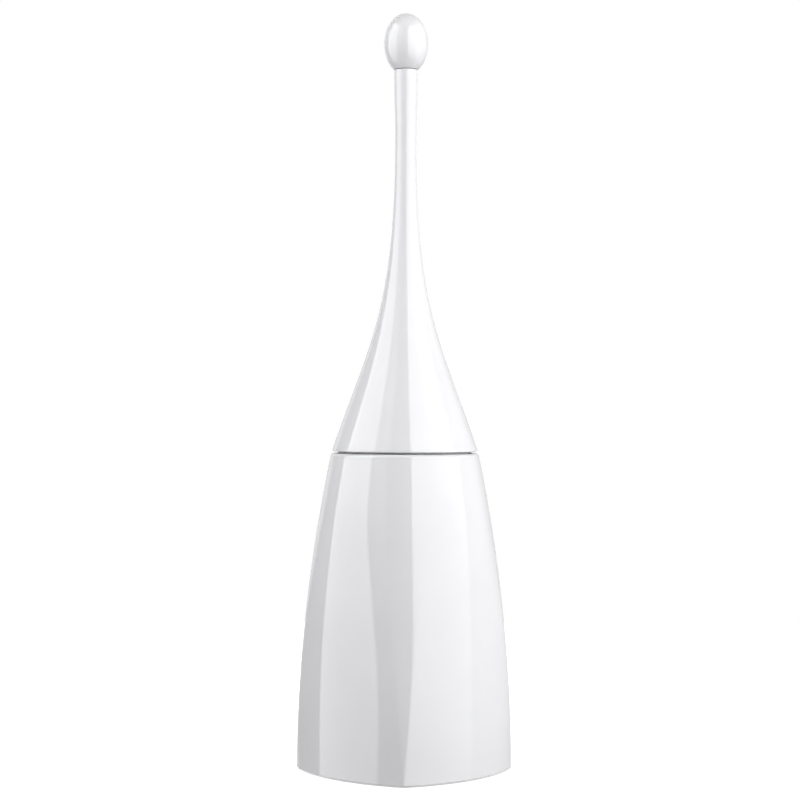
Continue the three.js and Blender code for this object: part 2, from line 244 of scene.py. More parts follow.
def placed_at(piece, node):
    """Moves a piece turned about the upright axis to stand over a CAD node's middle."""
    spot = centre(node)
    piece.data.transform(Matrix.Translation((spot.x, spot.y, 0)))
    return piece


def thread(pitch, depth, low, high):
    """A shape for `turned` whose radius carries a screw thread between two heights."""

    def shape(column, radius, height, columns):
        angle = math.tau * column / columns
        if not low < height < high:
            return angle, radius
        phase = (height / pitch - column / columns) % 1
        fade = min(1, (height - low) / pitch, (high - height) / pitch)
        return angle, radius - depth * fade * abs(2 * phase - 1)

    return shape


def fit(piece, body_name, slot, node):
    """A piece takes the place of a CAD node, rides on its body and wears its slot's material."""
    piece.data.materials.clear()
    piece.data.materials.append(material_for(slot))
    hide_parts(node)
    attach(piece, body_name)


# ---- Sizes and colours --------------------------------------------------------------------

def linear(hex_colour):
    """An sRGB hex colour as linear red, green and blue."""
    channels = [int(hex_colour[i : i + 2], 16) / 255 for i in (1, 3, 5)]
    return [c / 12.92 if c <= 0.04045 else ((c + 0.055) / 1.055) ** 2.4 for c in channels]


def length(name, description, default):
    return FloatProperty(
        name=name, description=description, default=default, min=0, precision=5, unit="LENGTH"
    )


def colour(name, description, hex_colour):
    return FloatVectorProperty(
        name=name,
        description=description,
        default=linear(hex_colour),
        size=3,
        min=0,
        max=1,
        subtype="COLOR",
    )


RIM_ROUNDING = 2.5 * MM
SHELL_FOOT = bottom("holder_shell")
SHELL_TOP = top("holder_shell")
SIDE_TOP = SHELL_TOP - RIM_ROUNDING
CORNER = reach_at("holder_shell", SHELL_FOOT)
FLANGE = 1.6 * MM  # thickness of the liner's flange
HUB_RISE = 7.5 * MM  # from the top of the lid plate to the top of its hub
DOME = 8 * MM  # height of the brush core's rounded end


class BrushSetSizes(bpy.types.PropertyGroup):
    corner_reach: length("Corner reach", "Axis to a bottom corner of the holder", CORNER)
    rim_reach: length(
        "Rim reach",
        "Axis to the side where the rim's rounding begins",
        reach_at("holder_shell", SIDE_TOP),
    )
    belly_drop: length("Belly drop", "How far below the floor the side is widest", 6 * MM)
    face_depth: length(
        "Face depth",
        "How far the middle of each face is pushed in at the foot",
        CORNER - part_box("holder_shell")[1].x,
    )
    face_top: length("Face top", "Height at which the faces have faded out", 172 * MM)
    crease_softness: length("Crease softness", "Blend between a face and a corner", 0.3 * MM)
    shell_wall: length("Shell wall", "Thickness of the holder's wall", 3 * MM)
    lid_wall: length("Lid wall", "Thickness of the lid and handle", 2.5 * MM)
    liner_wall: length("Liner wall", "Thickness of the drip liner", 1.6 * MM)
    filament: length("Filament", "Thickness of one bristle, drawn coarse enough to show", 0.42 * MM)
    crimp: length("Crimp", "Height of the wave in a bristle", 0.28 * MM)
    tufts: IntProperty(name="Tufts", description="Tufts round each half row", default=18, min=3)
    per_tuft: IntProperty(name="Per tuft", description="Bristles in a tuft", default=24, min=3)


class BrushSetColours(bpy.types.PropertyGroup):
    gloss: colour("Gloss white", "Holder, lid, handle and knob", "#C7C7C9")
    gloss_shade: colour("Gloss shade", "Their faint flow marks", "#C4C4C6")
    satin: colour("Satin white", "Base plate, lid plate, stem and core", "#CECECA")
    liner: colour("Liner white", "Drip liner", "#CBD0CF")
    bristle: colour("Bristle white", "Nylon bristles", "#F2F2EE")
    ring: colour("Ring grey", "Soft seat ring", "#C4C6C4")
    foot: colour("Foot grey", "Rubber feet", "#85888A")
    zinc: colour("Zinc", "Plated steel", "#B9BDC0")
    brass: colour("Brass", "Turned inserts", "#C8A45C")
    floor: colour("Floor", "Pale floor", "#F4F4F4")


# ---- Materials ----------------------------------------------------------------------------

def per_mm(spacing):
    """The scale of a texture whose features are this many millimetres apart."""
    return 1 / (spacing * MM)


def add_node(tree, kind, settings=None, inputs=None):
    """Adds a node, gives it its settings, and sets or links its inputs."""
    node = tree.nodes.new(kind)
    for name, value in (settings or {}).items():
        setattr(node, name, value)
    for name, value in (inputs or {}).items():
        if isinstance(value, bpy.types.NodeSocket):
            tree.links.new(value, node.inputs[name])
        else:
            node.inputs[name].default_value = value
    return node


NOISE = "ShaderNodeTexNoise"
CELLS = "ShaderNodeTexVoronoi"
RINGS = "ShaderNodeTexWave"
# Nearly all of a noise's values are between these two.
NOISE_SPAN = {"From Min": 0.3, "From Max": 0.7}


def surface(name, shader, tones, gloss, relief):
    """A material whose colour and gloss drift a little, over one or more patterns of relief.

    `shader` holds what is the same all over. `tones` is two colours and the spacing of the
    drift between them, `gloss` is two roughnesses and theirs, and each part of `relief` is a
    kind of texture with its spacing and depth, the broadest first. All are in millimetres.
    """
    material = bpy.data.materials.new(name)
    material.use_nodes = True
    tree = material.node_tree
    tree.nodes.clear()
    place = add_node(tree, "ShaderNodeTexCoord").outputs["Object"]

    first, second, spacing = tones
    drift = add_node(tree, NOISE, inputs={"Vector": place, "Scale": per_mm(spacing), "Detail": 3})
    level = add_node(
        tree,
        "ShaderNodeMapRange",
        inputs={"Value": drift.outputs["Fac"], **NOISE_SPAN},
    )
    tone = add_node(
        tree,
        "ShaderNodeMix",
        {"data_type": "RGBA"},
        {0: level.outputs["Result"], 6: (*first, 1), 7: (*second, 1)},
    )

    low, high, spacing = gloss
    patches = add_node(tree, NOISE, inputs={"Vector": place, "Scale": per_mm(spacing), "Detail": 4})
    roughness = add_node(
        tree,
        "ShaderNodeMapRange",
        inputs={
            "Value": patches.outputs["Fac"],
            **NOISE_SPAN,
            "To Min": low,
            "To Max": high,
        },
    )

    normal = None
    for kind, spacing, depth in relief:
        scale = per_mm(spacing)
        settings = {}
        if kind == RINGS:
            scale /= math.tau
            settings = {"bands_direction": "Z"}
        pattern = add_node(tree, kind, settings, {"Vector": place, "Scale": scale})
        height = pattern.outputs["Distance" if kind == CELLS else "Fac"]
        inputs = {"Height": height, "Distance": depth * MM}
        if normal:
            inputs["Normal"] = normal
        normal = add_node(tree, "ShaderNodeBump", inputs=inputs).outputs["Normal"]

    finish = add_node(
        tree,
        "ShaderNodeBsdfPrincipled",
        inputs={
            **shader,
            "Base Color": tone.outputs[2],
            "Roughness": roughness.outputs["Result"],
            "Normal": normal,
        },
    )
    add_node(tree, "ShaderNodeOutputMaterial", inputs={"Surface": finish.outputs["BSDF"]})
    return material


def darker(rgb, share):
    return [c * share for c in rgb]


def polished_abs(colours):
    # ABS, injection moulded in a polished tool: a hard, nearly mirror-like gloss over white.
    # The wall is a little wavy, and its skin has a trace of orange peel.
    return surface(
        "ABS moulded polished",
        {"IOR": 1.54},
        (colours.gloss, colours.gloss_shade, 45),
        (0.05, 0.09, 9),
        ((NOISE, 40, 0.004), (NOISE, 1.6, 0.0004)),
    )


def satin_polypropylene(colours):
    # Polypropylene, moulded in a blasted tool: waxy and softly shining, with a fine grain.
    return surface(
        "Polypropylene moulded satin",
        {"IOR": 1.49},
        (colours.satin, darker(colours.satin, 0.94), 30),
        (0.32, 0.44, 5),
        ((NOISE, 0.5, 0.006),),
    )


def natural_polypropylene(colours):
    # Polypropylene with little pigment, moulded smooth: milky, with a soft gloss.
    return surface(
        "Polypropylene moulded natural",
        {"IOR": 1.49},
        (colours.liner, darker(colours.liner, 0.98), 30),
        (0.28, 0.34, 12),
        ((NOISE, 4, 0.001),),
    )


def crimped_nylon(colours):
    # Nylon filament, drawn and crimped: milky, with a dull sheen along each strand.
    return surface(
        "Nylon filament crimped",
        {
            "IOR": 1.53,
            "Subsurface Weight": 0.2,
            "Subsurface Radius": (MM, MM, MM),
            "Subsurface Scale": 1.0,
        },
        (colours.bristle, darker(colours.bristle, 0.9), 3),
        (0.38, 0.55, 1.5),
        ((NOISE, 0.4, 0.01),),
    )


def matt_elastomer(colours):
    # Thermoplastic elastomer, moulded matt: soft grey with a velvety grain.
    return surface(
        "Elastomer moulded matt",
        {"IOR": 1.5},
        (colours.ring, darker(colours.ring, 0.88), 6),
        (0.55, 0.68, 3),
        ((NOISE, 0.5, 0.015),),
    )


def matt_rubber(colours):
    # Nitrile rubber, moulded matt: mid grey, dry to the eye, coarser in its grain.
    return surface(
        "Nitrile rubber moulded matt",
        {"IOR": 1.52},
        (colours.foot, darker(colours.foot, 0.84), 4),
        (0.7, 0.85, 3),
        ((NOISE, 0.7, 0.025),),
    )


def zinc_steel(colours):
    # Mild steel, plated with bright zinc: pale grey-blue with a faint spangle of crystals.
    return surface(
        "Steel zinc plated",
        {"Metallic": 1.0},
        (colours.zinc, darker(colours.zinc, 0.8), 1.4),
        (0.28, 0.42, 1),
        ((CELLS, 1.2, 0.003), (NOISE, 0.4, 0.002)),
    )


def turned_brass(colours):
    # Free-cutting brass, turned on a lathe: warm yellow with fine rings left by the tool.
    return surface(
        "Brass turned",
        {"Metallic": 1.0},
        (colours.brass, darker(colours.brass, 0.82), 4),
        (0.28, 0.38, 2),
        ((RINGS, 0.4, 0.006),),
    )


FLOOR_GLOW = 0.4


def painted_board(colours):
    # Board, painted matt white: the studio floor, lit from behind until it is nearly white.
    return surface(
        "Board painted matt",
        {
            "Specular IOR Level": 0.0,
            "Emission Color": (1, 1, 1, 1),
            "Emission Strength": FLOOR_GLOW,
        },
        (colours.floor, darker(colours.floor, 0.985), 60),
        (0.85, 0.95, 4),
        ((NOISE, 3, 0.02),),
    )


MATERIALS = {
    "gloss_white": polished_abs,
    "satin_white": satin_polypropylene,
    "liner_white": natural_polypropylene,
    "bristle_nylon": crimped_nylon,
    "soft_grey": matt_elastomer,
    "foot_rubber": matt_rubber,
    "zinc_steel": zinc_steel,
    "brass": turned_brass,
    "floor": painted_board,
}
finished = {}


def material_for(slot):
    """The material of a slot, made the first time it is asked for."""
    if slot not in finished:
        finished[slot] = MATERIALS[slot](bpy.context.scene.brush_set_colours)
    return finished[slot]


# ---- The holder's outside -----------------------------------------------------------------

class HolderForm:
    """A bellied round body with four bowed faces pushed into it."""

    edge_spread = math.radians(13.3)  # half width of a corner's round strip, if it went on up
    foot_spread = math.radians(0.6)  # and at the foot
    fade_power = 1.3
    face_columns = 40
    corner_columns = 16
    follow_depth = 9 * MM  # points this close to the outside take the faces' shape
    crowding = 0.6  # share of the face's columns that crowd towards its creases

    def __init__(self, sizes):
        self.sizes = sizes
        rise = SIDE_TOP + sizes.belly_drop
        fall = sizes.corner_reach - sizes.rim_reach
        self.belly_radius = (rise**2 + fall**2) / (2 * fall)
        self.columns = 4 * (self.face_columns + self.corner_columns)

    def body_radius(self, height):
        rise = height + self.sizes.belly_drop
        sag = self.belly_radius - math.sqrt(self.belly_radius**2 - rise**2)
        return self.sizes.corner_reach - sag

    def face(self, height):
        """Half angle, centre behind the axis and radius of the face's bow."""
        share = min(max(height / self.sizes.face_top, 0), 1)
        depth = self.sizes.face_depth * math.cos(share * QUARTER) ** self.fade_power
        spread_angle = max(self.foot_spread, self.edge_spread * share)
        edge = math.pi / 4 - spread_angle
        body_radius = self.body_radius(height)
        if depth < 1e-7:
            return edge, 0, body_radius
        middle = body_radius - depth
        back = (body_radius**2 - middle**2) / (2 * (middle - body_radius * math.cos(edge)))
        return edge, back, middle + back

    def outside(self, turn, height):
        """Radius of the outside at a turn from a face's middle, its crease a little rounded."""
        _, back, bow = self.face(height)
        round_radius = self.body_radius(height)
        off = min(abs(turn), QUARTER - abs(turn))
        bowed = math.sqrt(bow**2 - (back * math.sin(off)) ** 2) - back * math.cos(off)
        soft = self.sizes.crease_softness
        overlap = max(soft - abs(round_radius - bowed), 0) / soft
        fade = min(1, (round_radius - (bow - back)) / soft)
        return min(round_radius, bowed) - fade * overlap**2 * soft / 4

    def shape(self, column, radius, height, columns):
        """Angle and radius of one column, for `turned`. The columns crowd towards the creases."""
        edge = self.face(height)[0]
        side_columns = self.face_columns + self.corner_columns
        side, step = divmod(column, side_columns)
        if step <= self.face_columns:
            t = 2 * step / self.face_columns - 1
            turn = edge * ((1 - self.crowding) * t + self.crowding * math.sin(t * QUARTER))
        else:
            t = (step - self.face_columns) / self.corner_columns
            turn = edge + (QUARTER - 2 * edge) * t
        angle = side * QUARTER + turn
        inset = self.body_radius(height) - radius
        if inset > self.follow_depth:
            return angle, radius
        return angle, self.outside(turn, height) - inset

    def side(self, low, high, inset, steps):
        heights = [low + (high - low) * step / steps for step in range(steps + 1)]
        return [(self.body_radius(h) - inset, h) for h in heights]


# ---- Operators ----------------------------------------------------------------------------

class PieceOperator:
    bl_options = {"REGISTER", "UNDO"}

    def execute(self, context):
        self.build(context.scene.brush_set_sizes)
        return {"FINISHED"}


class BRUSHSET_OT_holder_shell(PieceOperator, bpy.types.Operator):
    """Adds the holder: the glossy outer moulding with its mouth, ledge and screw bosses"""

    bl_idname = "brush_set.holder_shell"
    bl_label = "Holder Shell"
    foot_side = 1.5 * MM  # where the plain side begins above the foot's rounding
    ledge_thickness = 3 * MM
    boss_low, boss_high = 18 * MM, 34 * MM
    boss_radius = 4.5 * MM
    boss_bore = 1.8 * MM
    rib_inset = 3 * MM

    def build(self, sizes):
        form = HolderForm(sizes)
        node = "holder_shell"
        wall = sizes.shell_wall
        ledge_top = top("drip_liner") - FLANGE - TOUCH
        mouth = bore_at(node, SHELL_TOP)
        ledge = bore_at(node, ledge_top)
        ledge_foot = ledge_top - self.ledge_thickness
        flare_foot = ledge_foot - (form.body_radius(ledge_foot) - wall - ledge)
        rim = form.body_radius(SIDE_TOP) - RIM_ROUNDING
        outline = soften(
            [
                (form.body_radius(SHELL_FOOT) - wall, SHELL_FOOT, 0.5 * MM),
                (form.body_radius(SHELL_FOOT), SHELL_FOOT, 0.45 * MM),
                *form.side(SHELL_FOOT + self.foot_side, SIDE_TOP, 0, 130),
                *ellipse(rim, SIDE_TOP, RIM_ROUNDING, RIM_ROUNDING, 0.12, QUARTER, 12),
                (mouth, SHELL_TOP, 0.5 * MM),
                (mouth, ledge_top),
                (ledge, ledge_top, 0.3 * MM),
                (ledge, ledge_foot, 1 * MM),
                *form.side(flare_foot, SHELL_FOOT + self.foot_side, wall, 48),
            ]
        )
        shell = turned(node + "_moulding", outline, form.columns, form.shape)
        boss_low, boss_high = self.boss_low, self.boss_high
        middle = (boss_low + boss_high) / 2
        wall_at = form.body_radius(boss_low) - wall
        tools = []
        for screw in SCREWS:
            spot = centre(screw)
            distance, angle = math.hypot(spot.x, spot.y), math.atan2(spot.y, spot.x)
            boss = soften(
                [
                    (0, boss_high - 3 * MM),
                    (self.boss_bore, boss_high - 3 * MM),
                    (self.boss_bore, boss_low, 0.3 * MM),
                    (self.boss_radius, boss_low, 0.4 * MM),
                    (self.boss_radius, boss_high, 0.6 * MM),
                    (0, boss_high),
                ]
            )
            tools.append(placed_at(turned("boss", boss, 40), screw))
            rib_start = distance + self.rib_inset
            rib_length = wall_at + wall / 2 - rib_start
            place = (rib_start + rib_length / 2, 0, middle)
            tools.append(block((rib_length, 2 * MM, boss_high - boss_low - MM), place, angle))
        combine(shell, tools, "UNION")
        fit(shell, "holder", "gloss_white", node)


class BRUSHSET_OT_base_plate(PieceOperator, bpy.types.Operator):
    """Adds the base plate with its skirt, screw pillars and recesses for the feet"""

    bl_idname = "brush_set.base_plate"
    bl_label = "Base Plate"
    thickness = 2.5 * MM
    skirt = 8 * MM
    skirt_wall = 2 * MM
    slip = 0.6 * MM  # between the skirt and the holder's wall
    pillar_radius = 5.5 * MM
    head_recess = 4.1 * MM
    head_recess_top = 7 * MM
    screw_hole = 2.1 * MM

    def build(self, sizes):
        form = HolderForm(sizes)
        node = "base_plate"
        low = bottom(node)
        floor_top = low + self.thickness
        skirt_top = floor_top + self.skirt
        pillar_top = top(node)
        outside = sizes.shell_wall + self.slip
        inside = outside + self.skirt_wall
        ring = 0.4 * MM
        outline = soften(
            [
                (0, low),
                (10 * MM, low, 0.2 * MM),
                (10.5 * MM, low + ring, 0.2 * MM),
                (26 * MM, low + ring, 0.2 * MM),
                (26.5 * MM, low, 0.2 * MM),
                (form.body_radius(low) - outside, low, 0.5 * MM),
                (form.body_radius(skirt_top) - outside, skirt_top, 0.5 * MM),
                (form.body_radius(skirt_top) - inside, skirt_top, 0.5 * MM),
                (form.body_radius(floor_top) - inside, floor_top, 1.2 * MM),
                (30 * MM, floor_top, 0.3 * MM),
                (29.6 * MM, floor_top + 1.5 * MM, 0.4 * MM),
                (28.4 * MM, floor_top + 1.5 * MM, 0.4 * MM),
                (28 * MM, floor_top, 0.3 * MM),
                (0, floor_top),
            ]
        )
        plate = turned(node + "_moulding", outline, form.columns, form.shape)
        pillars = []
        cuts = []
        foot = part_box("foot_1")
        foot_radius = (foot[1].x - foot[0].x) / 2
        for screw in SCREWS:
            profile = soften(
                [
                    (0, floor_top - MM),
                    (self.pillar_radius, floor_top - MM),
                    (self.pillar_radius, pillar_top, 0.5 * MM),
                    (0, pillar_top),
                ]
            )
            pillars.append(placed_at(turned("pillar", profile, 48), screw))
            for radius, cut_low, cut_high in (
                (foot_radius + TOUCH, low - MM, low + MM),
                (self.head_recess, low - MM, self.head_recess_top),
                (self.screw_hole, low - MM, pillar_top + MM),
            ):
                outline = [(0, cut_low), (radius, cut_low), (radius, cut_high), (0, cut_high)]
                cuts.append(placed_at(turned("cut", outline, 48), screw))
        combine(plate, pillars, "UNION")
        combine(plate, cuts, "DIFFERENCE")
        fit(plate, "holder", "satin_white", node)


class BRUSHSET_OT_feet(PieceOperator, bpy.types.Operator):
    """Adds the four rubber feet, each with two rings on its underside"""

    bl_idname = "brush_set.feet"
    bl_label = "Feet"
    grooves = (0.32, 0.62)  # shares of the radius
    groove_depth = 0.4 * MM

    def build(self, sizes):
        for number in range(1, 5):
            node = f"foot_{number}"
            low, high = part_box(node)
            radius = (high.x - low.x) / 2
            corners = [(0, 0)]
            for groove in self.grooves:
                middle = groove * radius
                corners += [
                    (middle - 0.7 * MM, 0, 0.15 * MM),
                    (middle - 0.4 * MM, self.groove_depth, 0.15 * MM),
                    (middle + 0.4 * MM, self.groove_depth, 0.15 * MM),
                    (middle + 0.7 * MM, 0, 0.15 * MM),
                ]
            corners += [(radius, 0, 0.6 * MM), (radius, high.z, 0.3 * MM), (0, high.z)]
            foot = placed_at(turned(node + "_pad", soften(corners), 96), node)
            fit(foot, "holder", "foot_rubber", node)


class BRUSHSET_OT_base_screws(PieceOperator, bpy.types.Operator):
    """Adds the four cross-head screws that hold the base plate"""

    bl_idname = "brush_set.base_screws"
    bl_label = "Base Screws"
    head_height = 2.2 * MM
    head_radius = 3.5 * MM
    shank = 1.5 * MM
    pitch = 1.25 * MM
    thread_depth = 0.35 * MM
    cross = (4 * MM, 0.8 * MM, 2.4 * MM)
    steps = 90

    def build(self, sizes):
        for node in SCREWS:
            low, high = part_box(node)
            foot, tip = low.z, high.z
            shoulder = foot + self.head_height
            taper = tip - 2 * self.shank
            stride = (taper - shoulder) / self.steps
            head = soften(
                [
                    (0, foot),
                    (2.6 * MM, foot, 1.2 * MM),
                    (self.head_radius, shoulder - 0.9 * MM, 0.8 * MM),
                    (self.head_radius, shoulder, 0.15 * MM),
                    (self.shank, shoulder),
                ]
            )
            shank = [(self.shank, shoulder + stride * i) for i in range(1, self.steps + 1)]
            pattern = thread(self.pitch, self.thread_depth, shoulder + 2 * MM, taper)
            screw = turned(node + "_steel", [*head, *shank, (0, tip)], 32, pattern)
            slots = [block(self.cross, (0, 0, foot), quarter) for quarter in (0, QUARTER)]
            combine(screw, slots, "DIFFERENCE")
            fit(placed_at(screw, node), "holder", "zinc_steel", node)


class BRUSHSET_OT_drip_liner(PieceOperator, bpy.types.Operator):
    """Adds the lift-out drip liner that hangs in the holder's mouth"""

    bl_idname = "brush_set.drip_liner"
    bl_label = "Drip Liner"
    draft = 2 * MM  # how much narrower it is at the foot
    well = 0.6 * MM  # how far the middle of its underside is raised

    def build(self, sizes):
        node = "drip_liner"
        low, high = bottom(node), top(node)
        wall = sizes.liner_wall
        flange_low = high - FLANGE
        flange = reach(node, flange_low)
        outer = bore_at(node, flange_low)
        foot = outer - self.draft
        outline = soften(
            [
                (0, low + self.well),
                (foot - 12 * MM, low + self.well, MM),
                (foot - 10 * MM, low, MM),
                (foot, low, 5 * MM),
                (outer, flange_low),
                (flange, flange_low, 0.3 * MM),
                (flange, high, 0.5 * MM),
                (outer - wall, high, 0.6 * MM),
                (foot - wall, low + wall, 5 * MM),
                (0, low + wall + 0.4 * MM),
            ],
            8,
        )
        liner = turned(node + "_moulding", outline)
        fit(liner, "liner", "liner_white", node)


class BRUSHSET_OT_seat_ring(PieceOperator, bpy.types.Operator):
    """Adds the soft ring that the lid rests on"""

    bl_idname = "brush_set.seat_ring"
    bl_label = "Seat Ring"

    def build(self, sizes):
        node = "seat_ring"
        low, high = bottom(node), top(node)
        inner, outer = bore(node), reach(node)
        middle = (low + high) / 2
        soft = 0.7 * MM
        groove = 0.25 * MM
        outline = soften(
            [
                (inner, low, soft),
                (outer, low, soft),
                (outer, middle - groove, 0.1 * MM),
                (outer - 0.4 * MM, middle, 0.1 * MM),
                (outer, middle + groove, 0.1 * MM),
                (outer, high, soft),
                (inner, high, soft),
            ]
        )
        ring = turned(node + "_elastomer", outline)
        fit(ring, "seat", "soft_grey", node)


class BRUSHSET_OT_handle_cone(PieceOperator, bpy.types.Operator):
    """Adds the lid and handle, one hollow moulding from rim to knob"""

    bl_idname = "brush_set.handle_cone"
    bl_label = "Lid and Handle"
    slope = 0.338  # radius lost per unit of height at the lid's edge
    cone_share = 0.342  # share of the height over which the lid's slope pulls on the curve
    neck_share = 0.552  # and over which the slender neck does
    waist_radius = 6.64 * MM
    waist_drop = 45 * MM
    collar = 7 * MM
    edge = 0.8 * MM  # rounding of the lid's lower edge

    def build(self, sizes):
        node = "handle_cone"
        low, high = bottom(node), top(node)
        wall = sizes.lid_wall
        lid = reach(node, low, low + 1.2 * MM) + self.slope * self.edge
        waist = high - self.waist_drop
        tall = waist - low
        share = self.cone_share * tall
        cone = bezier(
            (lid, low),
            (lid - self.slope * share, low + share),
            (self.waist_radius, waist - self.neck_share * tall),
            (self.waist_radius, waist),
            90,
        )
        collar_height = high - self.collar
        head = reach(node, high - 0.5 * MM)
        rise = collar_height - waist
        neck = bezier(
            (self.waist_radius, waist),
            (self.waist_radius, waist + 0.4 * rise),
            (head, collar_height - 0.3 * rise),
            (head, collar_height),
            24,
        )
        plate_bore = bore_at(node, low)
        plate_seat = top("lid_plate") - HUB_RISE + TOUCH
        inside = [(p.x - wall, p.y) for p in cone if p.y > plate_seat + 2 * MM]
        outline = soften(
            [
                (plate_bore, low, 0.2 * MM),
                (lid - self.edge * 0.2, low, self.edge),
                *[(p.x, p.y) for p in cone if p.y > low + 1.4 * MM],
                *[(p.x, p.y) for p in neck[1:]],
                (head, high, 0.35 * MM),
                (bore_at(node, high), high, 0.2 * MM),
                *reversed(inside),
                (lid - self.slope * (plate_seat - low) - wall, plate_seat),
                (plate_bore, plate_seat, 0.2 * MM),
            ],
            8,
        )
        piece = turned(node + "_moulding", outline)
        fit(piece, "brush", "gloss_white", node)


class BRUSHSET_OT_knob(PieceOperator, bpy.types.Operator):
    """Adds the egg-shaped knob with the spigot that centres it on the handle"""

    bl_idname = "brush_set.knob"
    bl_label = "Knob"
    half = 19.5 * MM  # half the height of the whole egg

    def build(self, sizes):
        node = "knob"
        high = top(node)
        spigot_low = bottom(node)
        seat = top("handle_cone") + TOUCH
        middle = high - self.half
        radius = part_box(node)[1].x
        cut = math.asin((seat - middle) / self.half)
        insert_low, insert_high = bottom("knob_insert"), top("knob_insert")
        pocket = reach("knob_insert") + TOUCH
        rod = bore("knob_insert")
        spigot = reach(node, spigot_low, spigot_low + MM)
        egg = ellipse(0, middle, radius, self.half, cut, QUARTER, 64)
        egg[-1] = (0, high)
        outline = soften(
            [
                (0, insert_high + TOUCH),
                (pocket, insert_high + TOUCH, 0.2 * MM),
                (pocket, insert_low - TOUCH, 0.2 * MM),
                (rod, insert_low - TOUCH, 0.2 * MM),
                (rod, spigot_low, 0.3 * MM),
                (spigot, spigot_low, 0.5 * MM),
                (spigot, seat, 0.2 * MM),
                (egg[0].x, seat, 0.35 * MM),
                *egg[1:],
            ]
        )
        fit(turned(node + "_egg", outline, 128), "brush", "gloss_white", node)


class BRUSHSET_OT_inserts(PieceOperator, bpy.types.Operator):
    """Adds the two knurled brass inserts in the knob and in the stem"""

    bl_idname = "brush_set.inserts"
    bl_label = "Brass Inserts"
    knurls = 32
    knurl_depth = 0.16 * MM
    groove_depth = 0.7 * MM
    groove_half = 0.8 * MM

    def build(self, sizes):
        for node in ("knob_insert", "stem_insert"):
            low, high = bottom(node), top(node)
            inner, outer = bore(node), reach(node)
            waist = (low + high) / 2
            groove = outer - self.groove_depth
            gap = self.groove_half

            def knurl(column, radius, height, columns):
                angle = math.tau * column / columns
                ridge = abs(2 * ((column * self.knurls / columns) % 1) - 1)
                on_face = radius > outer - BAND / 2
                return angle, radius - (self.knurl_depth * ridge if on_face else 0)

            outline = soften(
                [
                    (inner, low, 0.3 * MM),
                    (outer, low, 0.3 * MM),
                    (outer, waist - gap, 0.1 * MM),
                    (groove, waist - gap / 2, 0.1 * MM),
                    (groove, waist + gap / 2, 0.1 * MM),
                    (outer, waist + gap, 0.1 * MM),
                    (outer, high, 0.3 * MM),
                    (inner, high, 0.3 * MM),
                ]
            )
            insert = turned(node + "_brass", outline, self.knurls * 4, knurl)
            fit(insert, "brush", "brass", node)


class BRUSHSET_OT_core_rod(PieceOperator, bpy.types.Operator):
    """Adds the steel rod that ties knob, handle and stem together"""

    bl_idname = "brush_set.core_rod"
    bl_label = "Core Rod"
    threaded = 16 * MM  # length of the thread at each end
    pitch = 0.8 * MM
    thread_depth = 0.3 * MM
    stride = 0.2 * MM
    point = 0.5 * MM  # how much the radius narrows at the very end

    def build(self, sizes):
        node = "core_rod"
        low, high = bottom(node), top(node)
        radius = reach(node)
        threaded = self.threaded
        count = int(threaded / self.stride)
        lower = [low + threaded * i / count for i in range(1, count + 1)]
        upper = [high - threaded * i / count for i in range(count, 0, -1)]
        outline = [(0, low), (radius - self.point, low)]
        outline += [(radius, height) for height in lower + upper]
        outline += [(radius - self.point, high), (0, high)]
        first = thread(self.pitch, self.thread_depth, low, low + threaded)
        second = thread(self.pitch, self.thread_depth, high - threaded, high)

        def both(column, r, height, columns):
            return (first if height < (low + high) / 2 else second)(column, r, height, columns)

        rod = turned(node + "_steel", outline, 32, both)
        fit(rod, "brush", "zinc_steel", node)


class BRUSHSET_OT_lid_plate(PieceOperator, bpy.types.Operator):
    """Adds the plate that closes the lid from below, with its collar, hub and ribs"""

    bl_idname = "brush_set.lid_plate"
    bl_label = "Lid Plate"
    ribs = 8
    rib_depth = 3 * MM
    rib_thickness = 1.2 * MM
    thickness = 2.4 * MM
    hub_radius = 9 * MM

    def build(self, sizes):
        node = "lid_plate"
        low, high = bottom(node), top(node)
        plate_top = high - HUB_RISE
        plate_low = plate_top - self.thickness
        edge = reach(node)
        collar = reach_at(node, low)
        collar_inside = bore_at(node, low)
        hole = bore(node)
        outline = soften(
            [
                (hole, plate_low, 0.2 * MM),
                (collar_inside, plate_low, 0.6 * MM),
                (collar_inside, low, 0.4 * MM),
                (collar, low, 0.7 * MM),
                (collar, plate_low, 0.3 * MM),
                (edge, plate_low, 0.4 * MM),
                (edge, plate_top, 0.4 * MM),
                (self.hub_radius, plate_top, MM),
                (self.hub_radius, high, 0.5 * MM),
                (hole, high, 0.3 * MM),
            ]
        )
        plate = turned(node + "_moulding", outline)
        start = reach("stem", plate_low - 2 * MM, plate_low) + 1.5 * MM
        end = collar_inside + 0.5 * MM
        overlap = 0.3 * MM
        place = ((start + end) / 2, 0, plate_low - self.rib_depth / 2 + overlap)
        tools = [
            block((end - start, self.rib_thickness, self.rib_depth), place, math.tau * i / self.ribs)
            for i in range(self.ribs)
        ]
        combine(plate, tools, "UNION")
        fit(plate, "brush", "satin_white", node)


